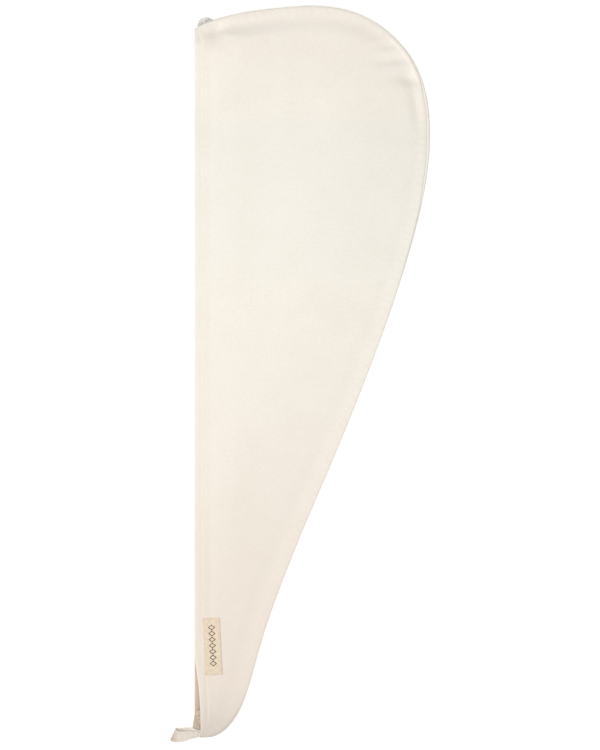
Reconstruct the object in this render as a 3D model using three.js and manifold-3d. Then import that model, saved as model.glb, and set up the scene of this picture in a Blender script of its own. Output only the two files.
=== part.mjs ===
// Hair towel of ribbed cotton: a long teardrop of two panels, sewn along the curved edge and open
// along the straight hem, with a button at the nape corner and a strap loop at the tail tip.
// It lies flat, as on a table. Millimetres, +Z up. While the shapes are worked out, x is measured
// from the straight hem and y from the tail tip. At the end the towel moves so that its origin is
// the middle of the bottom of its bounding box.

import * as THREE from 'three';
import { mergeVertices } from 'three/addons/utils/BufferGeometryUtils.js';
import Module from 'manifold-3d';

const wasm = await Module();
wasm.setup();

// Cloth
const CLOTH = 1.8; // one layer
const GAP = 0.3; // clearance between pieces that touch
const HEM_WIDTH = 9; // straight edge, folded under and stitched
const HEM_CLOTH = 2 * CLOTH;
const HEM_ROUND = 1.1; // how far each face of the hem turns in at its edge
const STITCH_DEPTH = 0.5; // groove that the hem's stitches pull
const STITCH_HALF_WIDTH = 1.3;

// How high the upper panel lies
const CROWN_HEIGHT = 17.5;
const CROWN_RISE = { from: 12, to: 75 }; // distances from the seam
const HEM_SAG = 2.4; // the open edge sinks a little under its own weight
const HEM_SAG_REACH = 46;
const HEM_SAG_START = { from: 20, to: 80 }; // distances from the seam
const EDGE_REACH = 4.6; // from the outline in to where the rolled edge is level
const EDGE_PINCH = 0.7; // the seam's stitches pull the cloth in

// Valley inside the seam allowance
const VALLEY_DEPTH = 1.2;
const VALLEY_OFFSET = 14.5;
const VALLEY_HALF_WIDTH = 6;

// The curved seam's outline from the nape corner over the crown to the tail tip. edge is the height of
// the rolled edge, roll the angle at which the seam lies (0 at the side, 90 on top), and valley the
// strength of the valley inside it.
const SEAM_ROWS = [
  { x: 2.0, y: 745.6, edge: 9.0, roll: 6, valley: 0.2 },
  { x: 18.9, y: 752.9, edge: 9.0, roll: 6, valley: 1.0 },
  { x: 51.5, y: 761.4, edge: 9.0, roll: 8, valley: 1.0 },
  { x: 90.0, y: 766.6, edge: 9.0, roll: 8, valley: 0.7 },
  { x: 127.0, y: 768.6, edge: 9.0, roll: 8, valley: 0.4 },
  { x: 160.0, y: 764.3, edge: 9.0, roll: 8, valley: 0.4 },
  { x: 190.4, y: 751.2, edge: 9.0, roll: 10, valley: 0.5 },
  { x: 215.6, y: 730.2, edge: 9.0, roll: 18, valley: 0.7 },
  { x: 234.5, y: 702.8, edge: 9.0, roll: 56, valley: 0.9 },
  { x: 245.0, y: 668.0, edge: 9.0, roll: 80, valley: 1.0 },
  { x: 247.5, y: 627.0, edge: 9.0, roll: 82, valley: 0.7 },
  { x: 243.6, y: 585.0, edge: 9.0, roll: 80, valley: 0.4 },
  { x: 235.0, y: 543.0, edge: 9.0, roll: 66, valley: 0.3 },
  { x: 210.0, y: 459.0, edge: 9.0, roll: 46, valley: 0.3 },
  { x: 179.4, y: 375.0, edge: 9.0, roll: 40, valley: 0.2 },
  { x: 145.4, y: 291.0, edge: 9.0, roll: 12, valley: 0.1 },
  { x: 109.6, y: 207.0, edge: 9.0, roll: 8, valley: 0.0 },
  { x: 77.6, y: 123.0, edge: 9.4, roll: 8, valley: 0.0 },
  { x: 52.0, y: 39.0, edge: 10.6, roll: 8, valley: 0.0 },
  { x: 41.6, y: 19.2, edge: 11.4, roll: 8, valley: 0.0 },
  { x: 29.6, y: 6.0, edge: 12.0, roll: 8, valley: 0.0 },
  { x: 18.8, y: 0.8, edge: 12.0, roll: 8, valley: 0.0 },
  { x: 8.2, y: 0.0, edge: 12.0, roll: 8, valley: 0.0 },
];

// Dents in the upper panel: two puckers where the crown's curve is eased, the crease beside the button
// and a faint crease half way down. turn is the angle of the dent's long direction.
const DENTS = [
  { x: 204, y: 708, length: 28, width: 10, turn: 8, depth: 1.1 },
  { x: 219, y: 687, length: 21, width: 8, turn: 4, depth: 1.4 },
  { x: 16, y: 731, length: 26, width: 9, turn: 62, depth: 0.9 },
  { x: 164, y: 380, length: 15, width: 7, turn: 10, depth: 0.5 },
];

// Where the lengthwise rows of the panels lie, as a share of the seam's length
const ROW_STRETCHES = [
  { to: 0.03, rows: 4 },
  { to: 0.07, rows: 5 },
  { to: 0.235, rows: 9 },
  { to: 0.3, rows: 11 },
  { to: 0.42, rows: 6 },
  { to: 0.9, rows: 13 },
  { to: 1.0, rows: 9 },
];

// The hem's two ends along y, and the panel widths between which its rows turn to run straight across
const HEM_ENDS = { nape: 742.6, tail: 3 };
const NARROW = { from: 6, to: 50 };

// Across a panel: distances from the outline, shares of the plain middle, and distances from the hem.
// The back panel lies on the floor and needs fewer.
const ARC_STEPS = 4;
const FRONT_COLUMNS = {
  seamSide: [7, 10, 12.5, 15, 20],
  middle: [0.1, 0.25, 0.42, 0.6, 0.8],
  hemSide: [14, 10.2, 9.4, 8.8, 7.6, 4, 0.9, 0],
};
const BACK_COLUMNS = {
  seamSide: [8, 13, 20],
  middle: [0.33, 0.66],
  hemSide: [14, 9.4, 8.8, 0.9, 0],
};

// The front hem stands back at the tail, so that the inside shows. The back hem flares out there a little.
const SETBACK = { most: 5.3, from: 18, to: 92 };
const FLARE = { most: 1.7, from: 12, to: 34 };

// Seam allowance: both edges overlocked together and turned inside
const ALLOWANCE = { near: 3.2, far: 12.2, thick: 3.0, start: 0.018, end: 0.93 };
const ALLOWANCE_TAIL = [
  { x: 29.0, y: 20.0, z: 2.1, thick: 3.0 },
  { x: 20.6, y: 13.4, z: 2.1, thick: 3.0 },
  { x: 13.4, y: 13.2, z: 3.4, thick: 2.8 },
  { x: 8.0, y: 17.4, z: 4.2, thick: 2.6 },
  { x: 6.0, y: 22.8, z: 4.2, thick: 2.6 },
  { x: 5.6, y: 29.0, z: 4.2, thick: 2.6 },
];
const ALLOWANCE_TAIL_STEPS = 14;

// Button
const BUTTON = { x: 12.4, y: 747.4, radius: 9.35, thick: 3.0, rim: 1.5, dish: 1.1, round: 0.6 };
const HOLE = { radius: 0.95, offset: 2.0, sides: 12 };
const LIFT = { height: 4.6, near: 12, far: 44 }; // the cloth that lies on the button
const BUTTON_SIDES = 40;
const THREAD = { radius: 0.42, sides: 8, shankRadius: 1.7 };

// Woven label, 18 by 60, turned a little from the hem
const LABEL = { x: 18.7, y: 94.6, width: 18.2, length: 59.6, thick: 0.7, turn: 2.9, across: 5, along: 12 };
const LABEL_CLEARANCE = 0.35;
const SEARCH_STEP = 0.005; // share of the seam's length

// Strap loop: the middle line of the tape from the tail out along its upper run, round the fold and
// back below. wide is the tape's width seen from above, skew the turn of its width from the y axis.
const TAPE = 1.3;
const LOOP_ROWS = [
  { x: 9.6, y: 6.0, z: 6.3, wide: 5.4, skew: 0 },
  { x: 4.6, y: 4.2, z: 6.3, wide: 6.6, skew: 0 },
  { x: 0.0, y: 3.6, z: 6.3, wide: 7.6, skew: 0 },
  { x: -5.0, y: 2.4, z: 5.9, wide: 9.4, skew: 2 },
  { x: -11.0, y: 0.8, z: 4.9, wide: 11.2, skew: 6 },
  { x: -17.0, y: 0.2, z: 4.2, wide: 12.0, skew: 12 },
  { x: -21.4, y: 0.6, z: 3.9, wide: 12.4, skew: 19 },
  { x: -23.5, y: 2.2, z: 2.4, wide: 12.6, skew: 23 },
  { x: -21.2, y: 4.3, z: 0.95, wide: 12.2, skew: 19 },
  { x: -16.0, y: 5.6, z: 0.8, wide: 11.2, skew: 8 },
  { x: -9.0, y: 6.0, z: 1.0, wide: 10.8, skew: 2 },
  { x: -4.0, y: 6.3, z: 2.6, wide: 9.6, skew: 0 },
  { x: 0.0, y: 5.6, z: 4.4, wide: 8.2, skew: 0 },
  { x: 4.6, y: 4.9, z: 4.6, wide: 6.8, skew: 0 },
  { x: 9.6, y: 6.2, z: 4.6, wide: 5.4, skew: 0 },
];
const LOOP_STEPS = 44;

// Small helpers
const lerp = THREE.MathUtils.lerp;
const smooth = (from, to, value) => THREE.MathUtils.smoothstep(value, from, to);
const radians = THREE.MathUtils.degToRad;
const bell = (offset, halfWidth) => Math.exp(-((offset / halfWidth) ** 2));

// A distance that is kept where there is room and squeezed smoothly where the panel is narrow
const squeeze = (distance, room) => distance / Math.cbrt(1 + (distance / room) ** 3);

// The seam as a smooth curve, and its rows' other values at any share of its length
const seamCurve = new THREE.CatmullRomCurve3(
  SEAM_ROWS.map((row) => new THREE.Vector3(row.x, row.y, 0)), false, 'centripetal');
seamCurve.arcLengthDivisions = 2000;
const SEAM_SAMPLES = seamCurve.getSpacedPoints(500);

function seamAt(share) {
  const place = seamCurve.getUtoTmapping(share) * (SEAM_ROWS.length - 1);
  const index = Math.min(Math.floor(place), SEAM_ROWS.length - 2);
  const blend = smooth(0, 1, place - index);
  const [before, after] = [SEAM_ROWS[index], SEAM_ROWS[index + 1]];
  const tangent = seamCurve.getTangentAt(share);
  return {
    point: seamCurve.getPointAt(share),
    inward: new THREE.Vector3(tangent.y, -tangent.x, 0),
    edge: lerp(before.edge, after.edge, blend),
    roll: radians(lerp(before.roll, after.roll, blend)),
    valley: lerp(before.valley, after.valley, blend),
  };
}

function seamDistance(x, y) {
  let best = Infinity;
  for (const sample of SEAM_SAMPLES) best = Math.min(best, Math.hypot(sample.x - x, sample.y - y));
  return best;
}

// Heights over the floor
const hemSetback = (y) => SETBACK.most * (1 - smooth(SETBACK.from, SETBACK.to, y));
const hemFlare = (y) => FLARE.most * (1 - smooth(FLARE.from, FLARE.to, y));

function buttonLift(x, y) {
  const distance = Math.hypot(x - BUTTON.x, y - BUTTON.y);
  return LIFT.height * (1 - smooth(LIFT.near, LIFT.far, distance));
}

function dentDepth(x, y) {
  let depth = 0;
  for (const dent of DENTS) {
    const turn = radians(dent.turn);
    const along = (x - dent.x) * Math.cos(turn) + (y - dent.y) * Math.sin(turn);
    const across = (y - dent.y) * Math.cos(turn) - (x - dent.x) * Math.sin(turn);
    depth += dent.depth * bell(along, dent.length / 2) * bell(across, dent.width / 2);
  }
  return depth;
}

function upperHeight(x, y, seam) {
  const fromSeam = seamDistance(x, y);
  const fromHem = x - hemSetback(y);
  const rise = (CROWN_HEIGHT - seam.edge) * smooth(CROWN_RISE.from, CROWN_RISE.to, fromSeam);
  const sag = HEM_SAG * (1 - smooth(0, HEM_SAG_REACH, fromHem))
    * smooth(HEM_SAG_START.from, HEM_SAG_START.to, fromSeam);
  const valley = VALLEY_DEPTH * seam.valley * bell(fromSeam - VALLEY_OFFSET, VALLEY_HALF_WIDTH);
  return buttonLift(x, y) + seam.edge + rise - sag - valley - dentDepth(x, y);
}

// One row of a panel: where it starts and ends, and how to step in from either side. Where the panel is
// narrow, the row runs straight from the seam to the hem.
function panelRow(share, isUpper) {
  const seam = seamAt(share);
  const hemY = lerp(HEM_ENDS.nape, HEM_ENDS.tail, share);
  const hem = new THREE.Vector3(isUpper ? hemSetback(hemY) : -hemFlare(hemY), hemY, 0);
  const chord = hem.clone().sub(seam.point);
  const room = chord.length() / 2;
  const narrow = 1 - smooth(NARROW.from, NARROW.to, chord.length());
  chord.normalize();
  const inward = seam.inward.clone().lerp(chord, narrow).normalize();
  const hemInward = new THREE.Vector3(1, 0, 0).lerp(chord.negate(), narrow).normalize();
  return {
    seam,
    inward,
    reach: squeeze(EDGE_REACH, room),
    side: isUpper ? 1 : -1,
    columns: isUpper ? FRONT_COLUMNS : BACK_COLUMNS,
    fromSeam: (distance) => seam.point.clone().addScaledVector(inward, squeeze(distance, room)),
    fromHem: (distance) => hem.clone().addScaledVector(hemInward, squeeze(distance, room)),
    faceHeight: (x, y) => (isUpper ? upperHeight(x, y, seam) : buttonLift(x, y)),
  };
}

// The rolled edge, from the seam round to where the panel lies level
function edgeArc({ seam, inward, reach, side }) {
  const rise = seam.edge / 2;
  const seamAngle = seam.roll + side * (GAP / 2 / rise);
  const pairs = [];
  for (let step = 0; step <= ARC_STEPS; step += 1) {
    const angle = lerp(seamAngle, side * Math.PI / 2, step / ARC_STEPS);
    const pinch = step === 0 ? EDGE_PINCH : 0;
    pairs.push([0, CLOTH].map((wall) => {
      const shrink = 1 - (wall + pinch) / EDGE_REACH;
      const point = seam.point.clone().addScaledVector(inward, reach * (1 - Math.cos(angle) * shrink));
      const height = rise + Math.sin(angle) * (rise - wall - pinch);
      return point.setZ(buttonLift(point.x, point.y) + height);
    }));
  }
  return pairs;
}

// A pair of points on the outer and the inner face, with each face turned in a little if asked
function wallPair(row, point, thick, turnIn = 0) {
  const face = row.faceHeight(point.x, point.y);
  return [
    point.clone().setZ(face - row.side * turnIn),
    point.clone().setZ(face - row.side * (thick - turnIn)),
  ];
}

function hemPair(row, distance) {
  const thick = distance <= HEM_WIDTH ? HEM_CLOTH : CLOTH;
  const groove = row.side > 0 ? STITCH_DEPTH * bell(distance - HEM_WIDTH, STITCH_HALF_WIDTH) : 0;
  const edge = HEM_ROUND * (1 - smooth(0, 2 * HEM_ROUND, distance)) ** 2;
  return wallPair(row, row.fromHem(distance), thick, Math.max(groove, edge));
}

// The whole ring of a row: the outer face from the seam to the hem, and the inner face back
function panelRing(share, isUpper) {
  const row = panelRow(share, isUpper);
  const { seamSide, middle, hemSide } = row.columns;
  const from = row.fromSeam(seamSide[seamSide.length - 1]);
  const to = row.fromHem(hemSide[0]);
  const pairs = [
    ...edgeArc(row),
    ...seamSide.map((distance) => wallPair(row, row.fromSeam(distance), CLOTH)),
    ...middle.map((part) => wallPair(row, from.clone().lerp(to, part), CLOTH)),
    ...hemSide.map((distance) => hemPair(row, distance)),
  ];
  return [...pairs.map(([outer]) => outer), ...pairs.map(([, inner]) => inner).reverse()];
}

// A closed solid from rings of the same number of points, capped at both ends
function solidFromRings(rings) {
  const count = rings[0].length;
  const positions = rings.flat().flatMap((point) => [point.x, point.y, point.z]);
  const indices = [];
  for (let row = 0; row < rings.length - 1; row += 1) {
    for (let k = 0; k < count; k += 1) {
      const next = (k + 1) % count;
      const a = row * count + k;
      const b = row * count + next;
      indices.push(a, b, a + count, b, b + count, a + count);
    }
  }
  const last = (rings.length - 1) * count;
  for (const [a, b, c] of capTriangles(rings[0])) indices.push(a, c, b);
  for (const [a, b, c] of capTriangles(rings[rings.length - 1])) indices.push(last + a, last + b, last + c);
  const geometry = new THREE.BufferGeometry();
  geometry.setAttribute('position', new THREE.Float32BufferAttribute(positions, 3));
  geometry.setIndex(indices);
  return outwards(geometry);
}

function capTriangles(ring) {
  const centre = ring.reduce((sum, point) => sum.add(point), new THREE.Vector3()).divideScalar(ring.length);
  const normal = new THREE.Vector3();
  ring.forEach((point, k) => {
    const next = ring[(k + 1) % ring.length];
    normal.add(point.clone().sub(centre).cross(next.clone().sub(centre)));
  });
  normal.normalize();
  const across = ring[Math.floor(ring.length / 2)].clone().sub(ring[0]).projectOnPlane(normal).normalize();
  const up = new THREE.Vector3().crossVectors(normal, across);
  const flat = ring.map((point) => new THREE.Vector2(point.dot(across), point.dot(up)));
  return THREE.ShapeUtils.triangulateShape(flat, []);
}

// Turns every face over where the solid's signed volume is negative
function outwards(geometry) {
  const at = geometry.getAttribute('position');
  const index = geometry.getIndex().array;
  const [a, b, c] = [new THREE.Vector3(), new THREE.Vector3(), new THREE.Vector3()];
  let volume = 0;
  for (let k = 0; k < index.length; k += 3) {
    a.fromBufferAttribute(at, index[k]);
    b.fromBufferAttribute(at, index[k + 1]);
    c.fromBufferAttribute(at, index[k + 2]);
    volume += a.dot(b.cross(c));
  }
  if (volume < 0) {
    for (let k = 0; k < index.length; k += 3) {
      [index[k + 1], index[k + 2]] = [index[k + 2], index[k + 1]];
    }
  }
  geometry.computeVertexNormals();
  return geometry;
}

// Panels
const ROW_SHARES = [0];
for (const stretch of ROW_STRETCHES) {
  const from = ROW_SHARES[ROW_SHARES.length - 1];
  for (let row = 1; row <= stretch.rows; row += 1) {
    ROW_SHARES.push(lerp(from, stretch.to, row / stretch.rows));
  }
}

function panel(isUpper) {
  return solidFromRings(ROW_SHARES.map((share) => panelRing(share, isUpper)));
}

// Seam allowance: a flat strip that follows the seam and turns up along the hem at the tail
function innerSeam() {
  const rings = [];
  const wide = ALLOWANCE.far - ALLOWANCE.near;
  const section = (across, base, thick) => [
    { at: across - wide * 0.3, z: base },
    { at: across + wide * 0.44, z: base },
    { at: across + wide * 0.5, z: base + thick / 2 },
    { at: across + wide * 0.44, z: base + thick },
    { at: across - wide * 0.36, z: base + thick },
    { at: across - wide * 0.5, z: base + thick * 0.45 },
  ];
  const shares = ROW_SHARES.filter((share) => share > ALLOWANCE.start && share < ALLOWANCE.end);
  for (const share of shares) {
    const seam = seamAt(share);
    const middle = (ALLOWANCE.near + ALLOWANCE.far) / 2;
    rings.push(section(middle, CLOTH + GAP, ALLOWANCE.thick).map(({ at, z }) => {
      const point = seam.point.clone().addScaledVector(seam.inward, at);
      return point.setZ(z + buttonLift(point.x, point.y));
    }));
  }
  const end = seamAt(shares[shares.length - 1]);
  const last = end.point.clone().addScaledVector(end.inward, (ALLOWANCE.near + ALLOWANCE.far) / 2);
  const tailRows = [{ x: last.x, y: last.y, z: CLOTH + GAP, thick: ALLOWANCE.thick }, ...ALLOWANCE_TAIL];
  const tailCurve = new THREE.CatmullRomCurve3(tailRows.map((row) => new THREE.Vector3(row.x, row.y, 0)));
  for (let step = 1; step <= ALLOWANCE_TAIL_STEPS; step += 1) {
    const t = step / ALLOWANCE_TAIL_STEPS;
    const place = t * (tailRows.length - 1);
    const index = Math.min(Math.floor(place), tailRows.length - 2);
    const base = lerp(tailRows[index].z, tailRows[index + 1].z, place - index);
    const thick = lerp(tailRows[index].thick, tailRows[index + 1].thick, place - index);
    const tangent = tailCurve.getTangent(t);
    const inward = new THREE.Vector3(tangent.y, -tangent.x, 0);
    rings.push(section(0, base, thick).map(({ at, z }) => (
      tailCurve.getPoint(t).addScaledVector(inward, at).setZ(z))));
  }
  return solidFromRings(rings);
}

// Strap loop of flat tape
function tailLoop() {
  const curve = new THREE.CatmullRomCurve3(LOOP_ROWS.map((row) => new THREE.Vector3(row.x, row.y, row.z)));
  const rings = [];
  for (let step = 0; step <= LOOP_STEPS; step += 1) {
    const t = step / LOOP_STEPS;
    const place = t * (LOOP_ROWS.length - 1);
    const index = Math.min(Math.floor(place), LOOP_ROWS.length - 2);
    const blend = place - index;
    const wide = lerp(LOOP_ROWS[index].wide, LOOP_ROWS[index + 1].wide, blend);
    const skew = radians(lerp(LOOP_ROWS[index].skew, LOOP_ROWS[index + 1].skew, blend));
    const tangent = curve.getTangent(t);
    const width = new THREE.Vector3(Math.sin(skew), Math.cos(skew), 0);
    const normal = new THREE.Vector3().crossVectors(tangent, width).normalize();
    const corners = [
      { w: 0.5, n: 0.25 }, { w: 0.46, n: 0.5 }, { w: -0.46, n: 0.5 }, { w: -0.5, n: 0.25 },
      { w: -0.5, n: -0.25 }, { w: -0.46, n: -0.5 }, { w: 0.46, n: -0.5 }, { w: 0.5, n: -0.25 },
    ];
    rings.push(corners.map(({ w, n }) => (
      curve.getPoint(t).addScaledVector(width, w * wide).addScaledVector(normal, n * TAPE))));
  }
  return solidFromRings(rings);
}

// Woven label, a thin patch that follows the cloth
function label() {
  const turn = radians(LABEL.turn);
  const across = new THREE.Vector3(Math.cos(turn), Math.sin(turn), 0);
  const along = new THREE.Vector3(-Math.sin(turn), Math.cos(turn), 0);
  const rings = [];
  for (let row = 0; row <= LABEL.along; row += 1) {
    const lengthwise = (row / LABEL.along - 0.5) * LABEL.length;
    const bottom = [];
    for (let column = 0; column <= LABEL.across; column += 1) {
      const crosswise = (column / LABEL.across - 0.5) * LABEL.width;
      const point = new THREE.Vector3(LABEL.x, LABEL.y, 0)
        .addScaledVector(across, crosswise).addScaledVector(along, lengthwise);
      point.z = labelSeat(point.x, point.y) + LABEL_CLEARANCE;
      bottom.push(point);
    }
    const top = bottom.map((point) => point.clone().setZ(point.z + LABEL.thick));
    rings.push([...bottom, ...top.reverse()]);
  }
  return solidFromRings(rings);
}

function labelSeat(x, y) {
  let nearest = seamAt(0);
  for (let share = 0; share <= 1; share += SEARCH_STEP) {
    const seam = seamAt(share);
    if (Math.hypot(seam.point.x - x, seam.point.y - y)
      < Math.hypot(nearest.point.x - x, nearest.point.y - y)) nearest = seam;
  }
  return upperHeight(x, y, nearest);
}

// Button: a turned disc, face down, with a dished face and four holes
function asManifold(geometry) {
  geometry.deleteAttribute('normal');
  geometry.deleteAttribute('uv');
  const merged = mergeVertices(geometry);
  return new wasm.Manifold(new wasm.Mesh({
    numProp: 3,
    vertProperties: merged.getAttribute('position').array,
    triVerts: merged.getIndex().array,
  }));
}

function asGeometry(manifold) {
  const mesh = manifold.getMesh();
  const geometry = new THREE.BufferGeometry();
  geometry.setAttribute('position', new THREE.BufferAttribute(mesh.vertProperties, 3));
  geometry.setIndex(new THREE.BufferAttribute(mesh.triVerts, 1));
  geometry.computeVertexNormals();
  return geometry;
}

function rod(radius, from, to, sides) {
  const axis = new THREE.Vector3().subVectors(to, from);
  const geometry = new THREE.CylinderGeometry(radius, radius, axis.length(), sides);
  const upright = new THREE.Vector3(0, 1, 0);
  geometry.applyQuaternion(new THREE.Quaternion().setFromUnitVectors(upright, axis.clone().normalize()));
  const middle = new THREE.Vector3().addVectors(from, to).multiplyScalar(0.5);
  geometry.translate(middle.x, middle.y, middle.z);
  return asManifold(geometry);
}

const HOLE_PLACES = [[1, 1], [1, -1], [-1, -1], [-1, 1]].map(([i, j]) => (
  { x: i * HOLE.offset, y: j * HOLE.offset }));

function button() {
  const { radius, thick, rim, dish, round } = BUTTON;
  const profile = [
    [0, dish], [radius - rim - 1, dish], [radius - rim, 0], [radius - round, 0], [radius, round],
    [radius, thick - round], [radius - round, thick - 0.2], [radius * 0.6, thick], [0, thick],
  ].map(([r, z]) => new THREE.Vector2(r, z));
  const turned = new THREE.LatheGeometry(profile, BUTTON_SIDES);
  turned.rotateX(Math.PI / 2);
  let solid = asManifold(turned);
  for (const place of HOLE_PLACES) {
    const below = new THREE.Vector3(place.x, place.y, -1);
    const above = new THREE.Vector3(place.x, place.y, thick + 1);
    solid = solid.subtract(rod(HOLE.radius, below, above, HOLE.sides));
  }
  return asGeometry(solid);
}

// Thread: two stitches across the dish, four legs through the holes and a shank up to the cloth
function buttonThread() {
  const under = BUTTON.dish - THREAD.radius - 0.1;
  const over = BUTTON.thick + GAP + THREAD.radius;
  const top = LIFT.height - GAP;
  let solid = rod(THREAD.shankRadius, new THREE.Vector3(0, 0, BUTTON.thick + GAP / 2),
    new THREE.Vector3(0, 0, top), 2 * THREAD.sides);
  for (const side of [1, -1]) {
    const feet = [-1, 1].map((end) => new THREE.Vector3(side * HOLE.offset, end * HOLE.offset, under));
    solid = solid.add(rod(THREAD.radius, feet[0], feet[1], THREAD.sides));
    for (const foot of feet) {
      const head = foot.clone().setZ(over);
      const centre = new THREE.Vector3(0, 0, over);
      solid = solid.add(rod(THREAD.radius, foot, head, THREAD.sides));
      solid = solid.add(rod(THREAD.radius, head, centre, THREAD.sides));
    }
  }
  return asGeometry(solid);
}

// Materials
const cloth = (color) => new THREE.MeshStandardMaterial({ color, roughness: 0.95, metalness: 0 });
const CREAM = '#f2ece0';
const INSIDE_CREAM = '#e9e0d0';
const TAPE_CREAM = '#e6dccd';
const TAN = '#e7d5b8';
const GREY = '#bfbcb8';
const THREAD_CREAM = '#efe8db';

function place(name, geometry, material, x = 0, y = 0) {
  const mesh = new THREE.Mesh(geometry, material);
  mesh.name = name;
  mesh.position.set(x, y, 0);
  return mesh;
}

const towel = new THREE.Group();
towel.add(
  place('front_panel', panel(true), cloth(CREAM)),
  place('back_panel', panel(false), cloth(CREAM)),
  place('inner_seam', innerSeam(), cloth(INSIDE_CREAM)),
  place('tail_loop', tailLoop(), cloth(TAPE_CREAM)),
  place('label', label(), cloth(TAN)),
  place('button', button(), new THREE.MeshStandardMaterial({ color: GREY, roughness: 0.35, metalness: 0 }),
    BUTTON.x, BUTTON.y),
  place('button_thread', buttonThread(), cloth(THREAD_CREAM), BUTTON.x, BUTTON.y),
);

// Origin at the middle of the bottom of the bounding box
const box = new THREE.Box3().setFromObject(towel);
const middle = box.getCenter(new THREE.Vector3());
towel.position.set(-middle.x, -middle.y, -box.min.z);

export default towel;
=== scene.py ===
# %% [markdown]
# # A hair towel, dressed for its picture
# The towel is two panels of ribbed cotton, sewn together along one long curve and left open along the
# straight hem. It lies flat, seen from straight above. The CAD frame already holds its plain solids, so
# this lesson makes the cloth, thread, tape, label and button that stand for them, in the same place.
# We start with the frame itself, and list its nodes before anything of ours is in the scene.

import math
from functools import partial

import bmesh
import bpy
import numpy as np
from mathutils import Matrix, Vector, kdtree, noise


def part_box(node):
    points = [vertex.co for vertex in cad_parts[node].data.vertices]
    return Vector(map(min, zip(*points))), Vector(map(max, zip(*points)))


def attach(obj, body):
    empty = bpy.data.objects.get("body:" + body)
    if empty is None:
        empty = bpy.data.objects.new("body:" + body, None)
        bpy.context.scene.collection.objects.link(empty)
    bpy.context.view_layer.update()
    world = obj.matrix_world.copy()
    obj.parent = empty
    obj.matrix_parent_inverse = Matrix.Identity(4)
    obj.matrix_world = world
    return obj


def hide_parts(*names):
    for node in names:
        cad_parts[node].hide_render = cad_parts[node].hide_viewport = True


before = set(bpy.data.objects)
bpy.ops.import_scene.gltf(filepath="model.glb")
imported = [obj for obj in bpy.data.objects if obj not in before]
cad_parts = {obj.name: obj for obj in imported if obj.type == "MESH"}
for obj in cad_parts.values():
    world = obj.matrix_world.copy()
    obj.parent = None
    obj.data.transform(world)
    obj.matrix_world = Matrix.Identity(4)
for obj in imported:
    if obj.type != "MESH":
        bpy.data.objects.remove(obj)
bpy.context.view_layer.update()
print("CAD nodes:", sorted(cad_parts))

# %% [markdown]
# A sewing pattern is easiest to read from its own edges. So all sizes below are millimetres of the
# pattern: x is measured from the straight hem and y from the tail tip. The frame has its origin in the
# middle of the towel instead. The button tells us how far the two are apart, because its centre is known
# in both.

# %% From the pattern to the frame
MM = 0.001
BUTTON = {"x": 12.4, "y": 747.4}

button_low, button_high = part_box("button")
SHIFT_X = (button_low.x + button_high.x) / 2 - BUTTON["x"] * MM
SHIFT_Y = (button_low.y + button_high.y) / 2 - BUTTON["y"] * MM


def in_frame(points):
    """Pattern millimetres to metres in the frame."""
    return np.asarray(points, float) * MM + [SHIFT_X, SHIFT_Y, 0]


print("pattern origin in the frame, mm:", round(SHIFT_X / MM, 2), round(SHIFT_Y / MM, 2))

# %% [markdown]
# Cloth is all soft steps and soft bumps. Three little functions give us both, and four more measure and
# read a line of points. They work on whole arrays at once, which keeps a mesh of many thousand points
# quick to make.

# %% Soft steps, bumps and lines of points
def smooth(start, stop, value):
    """0 before start, 1 after stop, and a soft step in between."""
    t = np.clip((np.asarray(value, float) - start) / (stop - start), 0, 1)
    return t * t * (3 - 2 * t)


def bell(offset, half_width):
    """A soft bump, 1 in its middle."""
    return np.exp(-((np.asarray(offset, float) / half_width) ** 2))


def squeeze(distance, room):
    """A distance that is kept where there is room, and shortened softly where the panel is narrow."""
    return distance / np.cbrt(1 + (distance / room) ** 3)


def unit(vectors):
    """The same directions, each 1 long."""
    return vectors / np.linalg.norm(vectors, axis=1)[:, None]


def inward_of(way):
    """A quarter turn to the right, which is into the towel for a line that runs down its seam."""
    return np.stack([way[:, 1], -way[:, 0]], axis=1)


def running_length(line):
    """How far along a line each of its points is."""
    return np.concatenate([[0], np.cumsum(np.linalg.norm(np.diff(line, axis=0), axis=1))])


def read_off(at, length, column):
    """A line's value, or its point, at any length along it."""
    if column.ndim == 1:
        return np.interp(at, length, column)
    return np.stack([np.interp(at, length, column[:, k]) for k in range(column.shape[1])], axis=-1)


print("half a step:", float(smooth(0, 2, 1)))

# %% [markdown]
# ## The curved seam
# Everything hangs on one line: the seam from the nape corner, over the crown, and down to the tail tip.
# A Bezier curve object would do, but the cloth has to meet the frame's solids, which were drawn from a
# short table of places with a Catmull-Rom curve through them. The same table and the same kind of curve
# put our seam exactly on theirs. Each row also says how thick the rolled edge is, where on that round
# edge the seam lies (0 is the side, 90 the top), and how deep and how far in the valley beside it is.

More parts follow.
